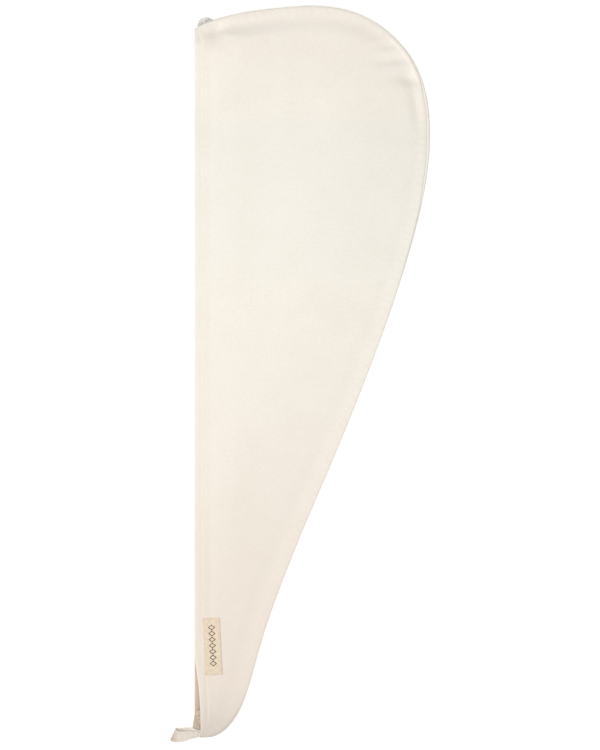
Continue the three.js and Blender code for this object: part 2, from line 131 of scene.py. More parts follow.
# %% The seam's table
SEAM_ROWS = np.array([  # x, y, edge height, roll angle, valley strength, valley offset
    (2.0, 745.6, 9.0, 6, 0.5, 9),
    (18.9, 752.9, 9.0, 6, 1.7, 9.5),
    (51.5, 761.4, 9.0, 8, 0.9, 17.5),
    (90.0, 766.6, 9.0, 8, 0.3, 18),
    (127.0, 768.6, 9.0, 8, 0.2, 18.5),
    (160.0, 764.3, 9.0, 8, 0.3, 17),
    (190.4, 751.2, 9.0, 10, 0.35, 14),
    (215.6, 730.2, 9.0, 18, 0.0, 12),
    (234.5, 702.8, 9.0, 56, 0.1, 12.5),
    (245.0, 668.0, 9.0, 80, 1.5, 11.5),
    (247.5, 627.0, 9.0, 82, 0.25, 12.5),
    (243.6, 585.0, 9.0, 74, 0.25, 13),
    (235.0, 543.0, 9.0, 44, 0.25, 14),
    (210.0, 459.0, 9.0, 18, 0.25, 15),
    (179.4, 375.0, 9.0, 12, 0.3, 16),
    (145.4, 291.0, 9.0, 12, 0.3, 19),
    (109.6, 207.0, 9.0, 8, 0.3, 21),
    (77.6, 123.0, 9.4, 8, 0.25, 20),
    (52.0, 39.0, 10.6, 8, 0.1, 18),
    (41.6, 19.2, 11.4, 8, 0.0, 15),
    (29.6, 6.0, 12.0, 8, 0.0, 15),
    (18.8, 0.8, 12.0, 8, 0.0, 15),
    (8.2, 0.0, 12.0, 8, 0.0, 15),
])
print("rows in the seam's table:", len(SEAM_ROWS))

# %% A curve through the table
def smooth_curve(points, per_span):
    """Samples of a centripetal Catmull-Rom curve, and the row, with its fraction, that each lies at."""
    points = np.asarray(points, float)
    ends = np.vstack([2 * points[0] - points[1], points, 2 * points[-1] - points[-2]])
    gaps = np.sqrt(np.linalg.norm(np.diff(ends, axis=0), axis=1))
    t = np.arange(per_span)[:, None] / per_span
    samples = []
    for row in range(len(points) - 1):
        p0, p1, p2, p3 = ends[row:row + 4]
        d0, d1, d2 = gaps[row:row + 3]
        leave = d1 * ((p1 - p0) / d0 - (p2 - p0) / (d0 + d1) + (p2 - p1) / d1)
        arrive = d1 * ((p2 - p1) / d1 - (p3 - p1) / (d1 + d2) + (p3 - p2) / d2)
        square = -3 * p1 + 3 * p2 - 2 * leave - arrive
        cube = 2 * p1 - 2 * p2 + leave + arrive
        samples.append(p1 + leave * t + square * t ** 2 + cube * t ** 3)
    places = np.arange((len(points) - 1) * per_span + 1) / per_span
    return np.vstack([*samples, points[-1:]]), places


def by_row(values, places, soft=True):
    """A table's column at any place between its rows."""
    row = np.minimum(places.astype(int), len(values) - 2)
    part = places - row
    part = smooth(0, 1, part) if soft else part
    return values[row] * (1 - part) + values[row + 1] * part


seam_line, seam_places = smooth_curve(SEAM_ROWS[:, :2], 160)
seam_length = running_length(seam_line)
seam_share = seam_length / seam_length[-1]
seam_edge, seam_roll, seam_valley, seam_offset = (by_row(SEAM_ROWS[:, k], seam_places) for k in (2, 3, 4, 5))
seam_roll = np.radians(seam_roll)
seam_inward = inward_of(unit(np.gradient(seam_line, seam_length, axis=0)))

seam_tree = kdtree.KDTree(len(seam_line))
for index, (x, y) in enumerate(seam_line):
    seam_tree.insert((x, y, 0), index)
seam_tree.balance()


def at_share(column, share):
    """A value of the seam at any share of its length."""
    return read_off(share, seam_share, column)


print("seam length, mm:", round(float(seam_length[-1]), 1))

# %% [markdown]
# ## How high the cloth lies
# The upper panel is a low cushion: it rises from the rolled edge to the crown, sinks a little at the
# open hem, and has the marks that make it cloth. A valley runs inside the seam, because the seam
# allowance under it holds the edge up, and behind the valley the cloth climbs a low bank. A few puckers
# lie where the curve is eased, and one creases the nape corner over the button. The hem has a ridge
# along its fold, and a second one where the fold's raw edge is sewn down. Modelling each by hand with
# the grab brush would work for one picture, but functions of x and y can be shared by the panel, its
# stitches and the label, so that they always lie on each other.

# %% Sizes of the cloth
CLOTH, GAP = 1.7, 0.3  # one layer's thickness, and the room between the layers at the seam
HEM_WIDTH, HEM_CLOTH = 10.2, 3.6  # how wide the fold is, and how thick its two layers are
CROWN_HEIGHT = 17.5
CROWN_RISE = (10, 105)
SWELL_ROOM = 0.4
SWELLS = ((0.27, 62, 1.7), (0.16, 21, 5.3))  # height, size, noise seed
SWELL_SPAN = (2, 26)
GATHER_HEIGHT, GATHER_PITCH, GATHER_PLACE, GATHER_WIDE = 0.16, 8.6, 5, 7
GATHER_DRIFT = (3.0, 30, 9.1)  # radians, size, noise seed
HEM_SAG, HEM_SAG_REACH, HEM_SAG_START = 2.4, 46, (20, 80)
EDGE_REACH = 4.6
EDGE_PINCH, PINCH_WIDE = 0.6, 0.9
EDGE_SQUARES, SQUARE_SHARES = (0.55, 0.3, 1.0), (0.44, 0.56, 0.935, 0.985)  # 1 is round, less is squarer
VALLEY_DEPTH, VALLEY_HALF_WIDTHS, VALLEY_FADE = 1.3, (11.0, 8.0), (2.6, 14)
BANK_SHARES, BANK_LENGTHS = (0.55, 0.25, 0.25, 0.12), (40, 120, 260, 330)  # of the rise, by seam length
BANK_SPAN = (-8, 10)
SETBACK, SETBACK_SPAN = 6.6, (14, 86)
FLARE, FLARE_SPAN = 1.8, (11, 26)
LIFT, LIFT_SPAN = 4.6, (12, 90)
STITCH_LINE, STITCH_DIP, STITCH_DIP_WIDE = 10.0, 0.22, 1.3
TAIL_STITCH_SHARE = 0.8
ALLOWANCE_EDGE, ALLOWANCE_DIP, ALLOWANCE_WIDE = 17.5, 0.35, 3.0
ALLOWANCE_SPAN = (20, 60)
HEM_RIDGES = ((0.1, 3.6, 1.8), (-STITCH_DIP, 8.2, STITCH_DIP_WIDE), (0.14, 11.4, 1.5))  # height, place, width

PUCKER_RIDGE = 0.35
PUCKERS = [  # x, y, length, width over and under its line, turn, depth
    (203, 725.5, 34, 15, 12, 12, 1.5),
    (206, 711.5, 38, 17, 13, 6, 2.6),
    (224, 692.5, 28, 21, 15, 2, 3.6),
    (21.3, 739.4, 24, 8, 30, 57, 3.4),
    (164, 380, 15, 8, 8, 10, 0.5),
]
print("puckers:", len(PUCKERS), "deepest, mm:", max(row[-1] for row in PUCKERS))

# %% What moves the cloth: the tail, the button and the puckers
def hem_setback(y):
    """How far the upper hem stands back at the tail, so that the inside shows."""
    start, stop = SETBACK_SPAN
    return SETBACK * (1 - np.clip((np.asarray(y, float) - start) / (stop - start), 0, 1) ** 2)


def hem_flare(y):
    """How far the lower hem spreads at the tail."""
    return FLARE * (1 - smooth(*FLARE_SPAN, y))


def button_lift(x, y):
    """The nape corner lies on the button."""
    return LIFT * (1 - smooth(*LIFT_SPAN, np.hypot(x - BUTTON["x"], y - BUTTON["y"])))


def puckers(x, y):
    """How deep the puckers lie: each sinks along its line, steeply on one side and gently on the other."""
    depth = 0
    for middle_x, middle_y, length, over, under, turn, deep in PUCKERS:
        c, s = math.cos(math.radians(turn)), math.sin(math.radians(turn))
        along = (x - middle_x) * c + (y - middle_y) * s
        across = (y - middle_y) * c - (x - middle_x) * s
        across = across / np.where(across > 0, over / 2, under / 2)
        depth = depth + deep * bell(along, length / 2) * (1 - PUCKER_RIDGE * across ** 2) * bell(across, 1)
    return depth


print("lift over the button's middle, mm:", float(button_lift(BUTTON["x"], BUTTON["y"])))

# %% What handling leaves in it
def nearest_seam(x, y):
    """The distance to the seam, and the seam's sample there, for arrays of places."""
    found = [seam_tree.find((a, b, 0)) for a, b in zip(np.ravel(x), np.ravel(y))]
    index = np.array([hit[1] for hit in found]).reshape(np.shape(x))
    return np.array([hit[2] for hit in found]).reshape(np.shape(x)), index


def noise_field(x, y, size, seed):
    """Blender's own noise over the cloth, with features of that size in millimetres."""
    places = zip(np.ravel(x) / size, np.ravel(y) / size)
    return np.array([noise.noise(Vector((a, b, seed))) for a, b in places]).reshape(np.shape(x))


def handled_cloth(x, y, from_seam, index):
    """What handling leaves in cloth: low swells, and short ripples that the seam's thread gathers."""
    swell = sum(height * noise_field(x, y, size, seed) for height, size, seed in SWELLS)
    drift, size, seed = GATHER_DRIFT
    wave = np.sin(seam_length[index] * 2 * math.pi / GATHER_PITCH + drift * noise_field(x, y, size, seed))
    gather = GATHER_HEIGHT * wave * bell(from_seam - GATHER_PLACE, GATHER_WIDE)
    return swell * smooth(*SWELL_SPAN, from_seam) + gather


print("swells and ripples, mm:", [row[0] for row in SWELLS], GATHER_HEIGHT)

# %% The height of the upper face
def hem_profile(from_hem):
    """The upper hem: the ridge along the fold, the dip behind it, and the ridge over the fold's raw edge."""
    return sum(height * bell(from_hem - place, wide) for height, place, wide in HEM_RIDGES)


def upper_height(x, y):
    """The height of the upper panel's outer face."""
    from_seam, index = nearest_seam(x, y)
    from_hem = x - hem_setback(y)
    from_valley = from_seam - seam_offset[index]
    bank = np.interp(seam_length[index], BANK_LENGTHS, BANK_SHARES)
    rise = bank * smooth(*BANK_SPAN, from_valley) + (1 - bank) * smooth(*CROWN_RISE, from_seam)
    rise = rise * (CROWN_HEIGHT - SWELL_ROOM - seam_edge[index])
    sag = HEM_SAG * (1 - smooth(0, HEM_SAG_REACH, from_hem)) * smooth(*HEM_SAG_START, from_seam)
    valley = bell(from_valley, np.where(from_valley < 0, *VALLEY_HALF_WIDTHS))
    valley = VALLEY_DEPTH * seam_valley[index] * valley * smooth(*VALLEY_FADE, from_seam)
    dip = ALLOWANCE_DIP * bell(from_hem - ALLOWANCE_EDGE, ALLOWANCE_WIDE) * smooth(*ALLOWANCE_SPAN, from_seam)
    level = button_lift(x, y) + seam_edge[index] + rise - sag - (valley + dip) - puckers(x, y)
    return level + handled_cloth(x, y, from_seam, index)


print("crown height, mm:", round(float(upper_height(np.array(110.0), np.array(620.0))), 2))

# %% [markdown]
# ## One helper for every flat piece
# A panel, a tape and a label are the same thing to a modeller: a cross-section that is carried along a
# line. A Solidify modifier could give a plain sheet its thickness, but a folded hem would then cut
# into itself. Here a grid is wrapped round the whole cross-section instead: its columns go once round
# the cloth, over the outer face and back along the inner one, and its last column is welded to its
# first. The two open ends are then filled, so each piece is one closed solid.

# %% Wrap a grid round a cross-section
def wrapped_grid(name, rings, cloth, inside=(0, 0), materials=()):
    """rings[row, column] are pattern millimetres, cloth the flat cloth's millimetres at the same places,
    and inside the columns whose faces take the second material."""
    rows, columns = rings.shape[:2]
    shape = bmesh.new()
    bmesh.ops.create_grid(shape, x_segments=columns, y_segments=rows - 1, size=0.5)
    grid_uv = shape.loops.layers.uv.new("cloth")
    places = in_frame(rings)
    column_of, row_of = {}, {}
    for vertex in shape.verts:
        column_of[vertex] = round((vertex.co.x + 0.5) * columns)
        row_of[vertex] = round((vertex.co.y + 0.5) * (rows - 1))
    for face in shape.faces:
        face.smooth = True
        left = min(column_of[v] for v in face.verts)
        face.material_index = 1 if inside[0] <= left < inside[1] else 0
        for loop in face.loops:
            flat = cloth[row_of[loop.vert], min(column_of[loop.vert], columns - 1)]
            loop[grid_uv].uv = (flat[0] * MM, flat[1] * MM)
    first = {row_of[v]: v for v in shape.verts if column_of[v] == 0}
    last = {row_of[v]: v for v in shape.verts if column_of[v] == columns}
    for vertex in shape.verts:
        vertex.co = places[row_of[vertex], column_of[vertex] % columns]
    bmesh.ops.weld_verts(shape, targetmap={last[row]: first[row] for row in last})
    rims = [edge for edge in shape.edges if edge.is_boundary]
    caps = bmesh.ops.holes_fill(shape, edges=rims, sides=0)["faces"]
    bmesh.ops.triangulate(shape, faces=caps, ngon_method="EAR_CLIP")
    bmesh.ops.recalc_face_normals(shape, faces=shape.faces)
    return finished(name, shape, materials)


def finished(name, shape, materials=(), body="root"):
    """The bmesh as an object, which rides on a body of the frame if one is named."""
    mesh = bpy.data.meshes.new(name)
    shape.to_mesh(mesh)
    shape.free()
    for material in materials:
        mesh.materials.append(material)
    made = bpy.data.objects.new(name, mesh)
    bpy.context.scene.collection.objects.link(made)
    if body:
        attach(made, body)
    triangles = sum(len(face.vertices) - 2 for face in mesh.polygons)
    print(f"{name}: {triangles} triangles")
    return made


# %% [markdown]
# ## Materials
# Four words describe most of this towel: undyed, ribbed, knitted, matt. Cotton has no gloss to speak
# of, so its colour, its fine relief and its soft sheen of loose fibres do all the work. First come the
# helpers: one turns the hex colour that we would pick from a swatch into Blender's linear light, one
# adds a node with its settings and its links, and two start a material and finish its surface.

# %% Helpers for nodes
def linear(swatch):
    """An sRGB hex colour as linear light."""
    parts = [int(swatch[k:k + 2], 16) / 255 for k in (1, 3, 5)]
    return [p / 12.92 if p <= 0.04045 else ((p + 0.055) / 1.055) ** 2.4 for p in parts] + [1.0]


def add_node(tree, kind, inputs=None, stops=(), **settings):
    """A node with its settings; an input that is given a socket is linked to it, and stops fill a ramp."""
    node = tree.nodes.new("ShaderNode" + kind)
    for name, value in settings.items():
        setattr(node, name, value)
    while stops and len(node.color_ramp.elements) < len(stops):
        node.color_ramp.elements.new(0.5)
    for (place, swatch), element in zip(stops, node.color_ramp.elements if stops else ()):
        element.position, element.color = place, linear(swatch)
    for name, value in (inputs or {}).items():
        if isinstance(value, bpy.types.NodeSocket):
            tree.links.new(value, node.inputs[name])
        else:
            node.inputs[name].default_value = value
    return node


def new_material(name):
    """A material without nodes, and add_node for it."""
    material = bpy.data.materials.new(name)
    material.use_nodes = True
    material.node_tree.nodes.clear()
    return material, partial(add_node, material.node_tree)


def finish_surface(add, colour, height, distance, inputs):
    """A Principled surface with that colour, relief and other inputs."""
    bump = add("Bump", {"Height": height, "Distance": distance, "Strength": 1.0}).outputs["Normal"]
    surface = add("BsdfPrincipled", {"Base Color": colour, "Normal": bump, **inputs})
    add("OutputMaterial", {"Surface": surface.outputs["BSDF"]})


print("cream in linear light:", [round(c, 3) for c in linear("#f2ece0")[:3]])

# %% [markdown]
# The panels are ribbed cotton, knitted in the round and left undyed. The ribs run across the towel,
# about 2.2 mm apart, and each is a row of small V-shaped stitches under 1 mm wide. From above they are
# faint lines that come and go, because the cloth is worn and washed, and here and there a thicker yarn,
# a slub, makes a fleck. The cloth's own UV map is in metres of flat cloth, so the ribs follow the hem's
# fold and the rolled edge round. A Noise texture's scale is how many of its features go in a metre, so
# 1400 is the fuzz of fibres at 0.7 mm, 420 the uneven yarn at 2.4 mm, and 26 to 60 the slow drifts of
# wear and dye over a few centimetres. A ramp read along the towel paints shade into the colour: the
# tail's tip is painted darker and warmer, and the strap's fold end is painted darker too.

# %% Ribbed cotton
RIB, STITCH = 2.2, 0.95
RELIEF_SHARES = (0.5, 0.2, 0.3)  # of the ribs, the knit and the fuzz
TONE_START, TONE_SHARES = 0.068, (0.48, 0.07, 0.2)  # of the yarn, the ribs and the dye
# painted shade: the towel's colour is darker and warmer towards the tail's tip, by its place along Y
TOWEL_PAINTED_SHADE = ("Y", -0.387, 0.387, (0.0, "#e3dcda"), (0.045, "#f3edeb"), (0.075, "#faf3f1"),
              (0.69, "#fafafa"), (0.82, "#fafafa"), (0.93, "#fffcfc"))


def waves(period):
    """A Wave texture's scale for bands that are period millimetres apart, on coordinates in metres."""
    return math.pi / 10 / (period * MM)


def painted_shade_tint(add, colour, axis, start, stop, *stops):
    """The colour with painted shade: a ramp of shades by the piece's place on one axis, multiplied in."""
    place = add("SeparateXYZ", {0: add("TexCoord").outputs["Object"]})
    along = add("MapRange", {"Value": place.outputs[axis], "From Min": start, "From Max": stop})
    shade = add("ValToRGB", {"Fac": along.outputs["Result"]}, stops).outputs["Color"]
    return add("Mix", {"Factor": 1.0, "A": colour, "B": shade},
               data_type="RGBA", blend_type="MULTIPLY").outputs["Result"]


print("a rib's wave scale:", round(waves(RIB), 1))

# %% Its nodes
def ribbed_cotton(name, light, mid, dark, relief, roughness, rib_pitch=RIB, painted_shade=TOWEL_PAINTED_SHADE):
    """Ribbed cotton in three shades of cream. The relief and the ribs' pitch are in millimetres."""
    material, add = new_material(name)
    flat = add("UVMap", uv_map="cloth").outputs["UV"]
    drift = add("TexNoise", {"Vector": flat, "Scale": 60.0, "Detail": 2.0}).outputs["Color"]
    bent = add("VectorMath", {0: drift, "Scale": 0.0016}, operation="SCALE").outputs["Vector"]
    cloth = add("VectorMath", {0: flat, 1: bent}).outputs["Vector"]
    worn = add("TexNoise", {"Vector": flat, "Scale": 30.0, "Detail": 1.0}).outputs["Fac"]
    worn = add("MapRange", {"Value": worn, "From Min": 0.42, "From Max": 0.62, "To Min": 0.15, "To Max": 1.0},
               interpolation_type="SMOOTHSTEP").outputs["Result"]
    rib = add("TexWave", {"Vector": cloth, "Scale": waves(rib_pitch)}, bands_direction="Y").outputs["Fac"]
    rib = add("Math", {0: rib, 1: worn}, operation="MULTIPLY").outputs["Value"]
    knit = add("TexWave", {"Vector": cloth, "Scale": waves(STITCH), "Distortion": 1.5, "Detail": 1.0,
                           "Detail Scale": 2.0}, bands_direction="X").outputs["Fac"]
    fuzz = add("TexNoise", {"Vector": cloth, "Scale": 1400.0, "Detail": 2.0}).outputs["Fac"]
    yarn = add("TexNoise", {"Vector": cloth, "Scale": 420.0, "Detail": 3.0, "Roughness": 0.6}).outputs["Fac"]
    dye = add("TexNoise", {"Vector": flat, "Scale": 26.0, "Detail": 2.0}).outputs["Fac"]
    height, tone = 0.0, TONE_START
    for pattern, share in zip((rib, knit, fuzz), RELIEF_SHARES):
        height = add("Math", {0: pattern, 1: share, 2: height}, operation="MULTIPLY_ADD").outputs["Value"]
    for pattern, share in zip((yarn, rib, dye), TONE_SHARES):
        tone = add("Math", {0: pattern, 1: share, 2: tone}, operation="MULTIPLY_ADD").outputs["Value"]
    colour = add("ValToRGB", {"Fac": tone}, ((0.25, dark), (0.45, mid), (0.65, light))).outputs["Color"]
    slub = add("TexVoronoi", {"Vector": flat, "Scale": 9.0}).outputs["Distance"]
    slub = add("MapRange", {"Value": slub, "From Min": 0.004, "From Max": 0.011, "To Min": 0.3,
                            "To Max": 0.0}).outputs["Result"]
    colour = add("Mix", {"Factor": slub, "A": colour, "B": linear("#a8977c")}, data_type="RGBA")
    finish_surface(add, painted_shade_tint(add, colour.outputs["Result"], *painted_shade), height, relief * MM, {
        "Roughness": roughness, "Sheen Weight": 0.15, "Sheen Roughness": 0.5, "Specular IOR Level": 0.3})
    return material


cotton_outside = ribbed_cotton("ribbed_cotton_outside", "#f7f4ec", "#f3f0e7", "#eeeadf", 0.1, 0.92)
# a darker copy of the cotton for the faces inside the towel: partly the cloth's reverse side, partly painted
# shade
shaded_inside_cotton = ribbed_cotton("ribbed_cotton_inside_painted_shade", "#e5dcce", "#ddd2c4", "#cec1ad", 0.25, 0.95)
print("cotton materials made")

# %% [markdown]
# ## The two panels
# Each panel is cut with a hem allowance that is folded to the inside, so the straight edge is two
# layers thick for 10 mm. Along the curve its edge rolls round to the seam. Row by row, the columns of
# the wrapped grid go: round the rolled edge, across the face, round the hem's fold, along the folded
# part to its raw edge, back inside the fold, and home along the inner face.

# %% Where the columns of a panel lie
ARC_STEPS = 10
SEAM_SIDE = [5.8, 7.2, 8.6, 10, 11.4, 12.8, 14.2, 15.6, 17, 18.6, 20.4, 22.6, 25]
HEM_SIDE = [18, 15.6, 14, 12.8, 12, 11.4, 10.8, 10.2, 9.7, 9.2, 8.7, 8.2, 7.7, 7.1, 6.4, 5.6, 4.9, 4.2,
            3.4, 2.6]
MIDDLE_STEPS, INNER_STEPS, FOLD_STEPS = 44, 16, 8
FOLD_RADIUS = HEM_CLOTH / 2
FOLDED_UNDER = (3.6, 5.4, 7.2, HEM_WIDTH - 0.3)
FOLDED_BACK = (HEM_WIDTH - 0.3, 6, 3, FOLD_RADIUS)
INNER_HEM = (FOLD_RADIUS, 3, 6, 8.4, 9.6, 11.6, 14.2, 18)
ROWS, HEM_NAPE, HEM_TAIL = 560, 742.6, 3.0
NARROW = (6, 50)
print("columns over a panel's outer face:", len(SEAM_SIDE) + MIDDLE_STEPS + len(HEM_SIDE))

# %% The plan of a panel's rows
def panel_columns(is_upper):
    """The rows' plans: functions of a distance from the seam or from the hem, for all rows at once."""
    share = np.linspace(0, 1, ROWS)
    seam = at_share(seam_line, share)
    inward = at_share(seam_inward, share)
    hem_y = HEM_NAPE + (HEM_TAIL - HEM_NAPE) * share
    hem_x = hem_setback(hem_y) if is_upper else -hem_flare(hem_y)
    hem = np.stack([hem_x, hem_y], axis=1)
    chord = hem - seam
    span = np.linalg.norm(chord, axis=1)
    chord /= span[:, None]
    narrow = (1 - smooth(*NARROW, span))[:, None]
    inward = unit(inward * (1 - narrow) + chord * narrow)
    hem_inward = unit(np.array([[1.0, 0.0]]) * (1 - narrow) - chord * narrow)
    room = span / 2
    return {
        "seam": lambda distance: seam + inward * squeeze(distance, room)[:, None],
        "hem": lambda distance: hem + hem_inward * squeeze(distance, room)[:, None],
        "edge": at_share(seam_edge, share),
        "roll": at_share(seam_roll, share),
        "reach": squeeze(EDGE_REACH, room),
        "square": np.interp(share, SQUARE_SHARES, np.repeat(EDGE_SQUARES, (1, 2, 1))),
        "inward": inward,
        "line": seam,
    }


print("rows from the nape to the tail:", ROWS)

# %% Its cross-sections
def panel_rings(is_upper):
    """All cross-sections of a panel, their places on the flat cloth, and its inner columns."""
    side = 1 if is_upper else -1
    plan = panel_columns(is_upper)
    face = upper_height if is_upper else button_lift
    ring, cloth = [], []

    def column(place, height, flat):
        ring.append(np.column_stack([place, height]))
        cloth.append(flat)

    def level(place, depth, flat):
        """A column that lies depth below the outer face."""
        column(place, face(place[:, 0], place[:, 1]) - side * depth, flat)

    def arc(step, wall):
        """A column of the rolled edge, wall millimetres inside its outer face."""
        rise = plan["edge"] / 2
        seam_angle = plan["roll"] + side * (GAP / 2 / rise)
        part = step / ARC_STEPS
        angle = seam_angle * (1 - part) + side * math.pi / 2 * part
        from_seam = np.abs(angle - seam_angle) * rise
        pinch = EDGE_PINCH * bell(from_seam, PINCH_WIDE)
        shrink = 1 - (wall + pinch) / EDGE_REACH
        out = np.abs(np.cos(angle)) ** plan["square"]
        up = np.sign(angle) * np.abs(np.sin(angle)) ** plan["square"]
        place = plan["line"] + plan["inward"] * (plan["reach"] * (1 - out * shrink))[:, None]
        height = rise + up * (rise - wall - pinch) + button_lift(place[:, 0], place[:, 1])
        if is_upper:
            depth, index = nearest_seam(place[:, 0], place[:, 1])
            height = height + handled_cloth(place[:, 0], place[:, 1], depth, index) * part
        rolled = (math.pi / 2 - np.abs(angle)) * rise
        column(place, height, plan["line"] + plan["inward"] * (plan["reach"] - rolled)[:, None])

    def hem(distance, depth, flat_distance):
        """A column of the hem, which carries its ridges and its line of stitches."""
        place = plan["hem"](distance)
        dip = -STITCH_DIP * bell(distance - STITCH_LINE, STITCH_DIP_WIDE)
        relief = hem_profile(distance) if is_upper else dip
        flat = plan["hem"](0) + (plan["hem"](1.0) - plan["hem"](0)) * flat_distance
        column(place, face(place[:, 0], place[:, 1]) - side * (depth - relief), flat)

    def middle(steps):
        """Places from the seam's side to the hem's."""
        start, stop = plan["seam"](SEAM_SIDE[-1]), plan["hem"](HEM_SIDE[0])
        return [start + (stop - start) * k / (steps + 1) for k in range(1, steps + 1)]

    for step in range(ARC_STEPS + 1):
        arc(step, 0)
    for distance in SEAM_SIDE:
        level(plan["seam"](distance), 0, plan["seam"](distance))
    for place in middle(MIDDLE_STEPS):
        level(place, 0, place)
    for distance in HEM_SIDE:
        hem(distance, 0, distance)
    for step in range(FOLD_STEPS + 1):
        angle = math.pi / 2 - math.pi * step / FOLD_STEPS
        distance = FOLD_RADIUS * (1 - math.cos(angle))
        hem(distance, FOLD_RADIUS * (1 - math.sin(angle)), FOLD_RADIUS * (1 - (math.pi / 2 - angle)))
    past_fold = FOLD_RADIUS * (1 - math.pi)
    for distance in FOLDED_UNDER:
        hem(distance, HEM_CLOTH, past_fold - distance)
    hem(HEM_WIDTH, HEM_CLOTH - 0.4, past_fold - HEM_WIDTH)
    inner_start = len(ring)
    hem(HEM_WIDTH, CLOTH + 0.5, past_fold - HEM_WIDTH)
    for distance in FOLDED_BACK:
        hem(distance, HEM_CLOTH - CLOTH, past_fold - distance)
    for distance in INNER_HEM:
        hem(distance, CLOTH, distance)
    for place in reversed(middle(INNER_STEPS)):
        level(place, CLOTH, place)
    for distance in reversed(SEAM_SIDE[::2]):
        level(plan["seam"](distance), CLOTH, plan["seam"](distance))
    for step in reversed(range(0, ARC_STEPS + 1, 2)):
        arc(step, CLOTH)
    # from the middle of its fold on, the lower panel takes the inner cotton, though this is the cloth's outer
    # face: painted shade where it shows in the opening
    if not is_upper:
        inner_start = ARC_STEPS + 1 + len(SEAM_SIDE) + MIDDLE_STEPS + len(HEM_SIDE) + FOLD_STEPS // 2
    return np.stack(ring, axis=1), np.stack(cloth, axis=1), (inner_start, len(ring) - 1)


upper_rings, upper_flat, upper_inside = panel_rings(True)
lower_rings, lower_flat, lower_inside = panel_rings(False)
print("columns round a panel:", upper_rings.shape[1], "rows:", upper_rings.shape[0])

# %% Make the two panels
cottons = (cotton_outside, shaded_inside_cotton)
upper_cloth = wrapped_grid("upper_cloth", upper_rings, upper_flat, upper_inside, cottons)
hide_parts("front_panel")
lower_cloth = wrapped_grid("lower_cloth", lower_rings, lower_flat, lower_inside, cottons)
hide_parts("back_panel")

# %% [markdown]
# ## Thread
# Sewing thread shows in four places: the hems, the label, the strap and the overlocked seam inside.
# A lockstitch seen from its face is a row of short beads, each a thread that comes up, lies on the
# cloth and dives again. So a stitch is a small ball, stretched along its row and half sunk in the
# cloth. Cotton sewing thread is twisted from three plies and is a little shinier than the cloth.

# %% Thread
def twisted_thread(name, light, dark, painted_shade=None):
    """Thread in two shades, whose plies show as slanting bands."""
    material, add = new_material(name)
    place = add("TexCoord").outputs["Object"]
    ply = add("TexWave", {"Vector": place, "Scale": waves(0.5), "Distortion": 2.0},
              bands_direction="DIAGONAL").outputs["Fac"]
    colour = add("ValToRGB", {"Fac": ply}, ((0.0, dark), (1.0, light))).outputs["Color"]
    if painted_shade:
        colour = painted_shade_tint(add, colour, *painted_shade)
    finish_surface(add, colour, ply, 0.05 * MM, {"Roughness": 0.75, "Sheen Weight": 0.1})
    return material


cream_thread = twisted_thread("cream_sewing_thread", "#fbf7ef", "#efe9dc")
# the hem thread takes the same painted shade towards the tail's tip
hem_thread = twisted_thread("cream_hem_thread", "#fbf7ef", "#efe9dc", TOWEL_PAINTED_SHADE)
print("thread's wave scale:", round(waves(0.5), 1))

# %% A row of stitches
def along_line(line, pitch):
    """Points every pitch millimetres along a line, and the line's direction at each."""
    length = running_length(line)
    at = np.arange(pitch / 2, length[-1] - pitch / 2, pitch)
    way = read_off(at + 0.5, length, line) - read_off(at - 0.5, length, line)
    return read_off(at, length, line), unit(way)


def stitch_row(shape, line, pitch, length, width, height):
    """Adds one row of stitches along a line to a bmesh."""
    for point, way in zip(*along_line(line, pitch)):
        way = Vector(way)
        across = Vector((0, 0, 1)).cross(way).normalized()
        turn = Matrix((way, across, way.cross(across))).transposed().to_4x4()
        size = Matrix.Diagonal((length / 2 * MM, width / 2 * MM, height / 2 * MM, 1))
        place = Matrix.Translation(Vector(in_frame(point)))
        bmesh.ops.create_icosphere(shape, subdivisions=2, radius=1, matrix=place @ turn @ size)
    for face in shape.faces:
        face.smooth = True


print("stitches on 100 mm at 2.5 mm each:", len(along_line(np.array([(0, 0, 0), (0, 100, 0)]), 2.5)[0]))

# %% Stitch both hems
HEM_STITCH = (3.15, 2.5, 1.1, 0.28)  # pitch, length, width and height
STITCH_LIFT, LOWER_STITCH_LIFT = 0.1, 0.14


def hem_line(is_upper):
    """A hem's stitch line. It keeps straighter than the upper hem's edge, which rolls under at the tail."""
    y = np.linspace(HEM_NAPE - 18, HEM_TAIL + 12, 400)
    if not is_upper:
        x = STITCH_LINE - hem_flare(y)
        return np.column_stack([x, y, button_lift(x, y) + LOWER_STITCH_LIFT])
    from_hem = STITCH_LINE - TAIL_STITCH_SHARE * hem_setback(y)
    x = hem_setback(y) + from_hem
    return np.column_stack([x, y, upper_height(x, y) + hem_profile(from_hem) + STITCH_LIFT])


for name, is_upper in (("upper_hem_stitches", True), ("lower_hem_stitches", False)):
    row = bmesh.new()
    stitch_row(row, hem_line(is_upper), *HEM_STITCH)
    stitches = finished(name, row, (hem_thread,))

# %% [markdown]
# ## The seam inside
# Both panels' edges are overlocked together and turned inside, where they lie as a flat band beside the
# seam. The band gives way wherever a pucker or the valley presses on it. At the tail it turns up along
# the hem, and its loops of thread show in the opening. Cloth first: a wrapped grid again, from behind
# the seam down to the two raw edges. Then the overlock thread, which runs round the raw edges turn after
# turn. A curve with a round bevel is the natural tool for a thread, and is made a mesh at once, so that
# it rides like the rest.

# %% The seam allowance
ALLOWANCE_FAR, ALLOWANCE_MIDDLE, ALLOWANCE_LEVEL = 12.2, 7.7, 3.6
ALLOWANCE_SHARES, ALLOWANCE_ROWS = (0.018, 0.93), 420
THREAD_ROOM = 0.55
RIM_WALL, RIM_HALF = 3.0, 4.55
BAND_WIDTH, BAND_HALF, FRAY = 9.0, 1.3, 0.12
ALLOWANCE_TAIL = np.array([  # x, y, middle height, half thickness
    (29.0, 20.0, 3.6, 1.3),
    (20.6, 13.4, 3.6, 1.3),
    (13.4, 13.2, 4.8, 1.2),
    (8.0, 17.4, 5.5, 1.15),
    (6.0, 22.8, 5.5, 1.15),
    (5.6, 29.0, 5.5, 1.15),
])

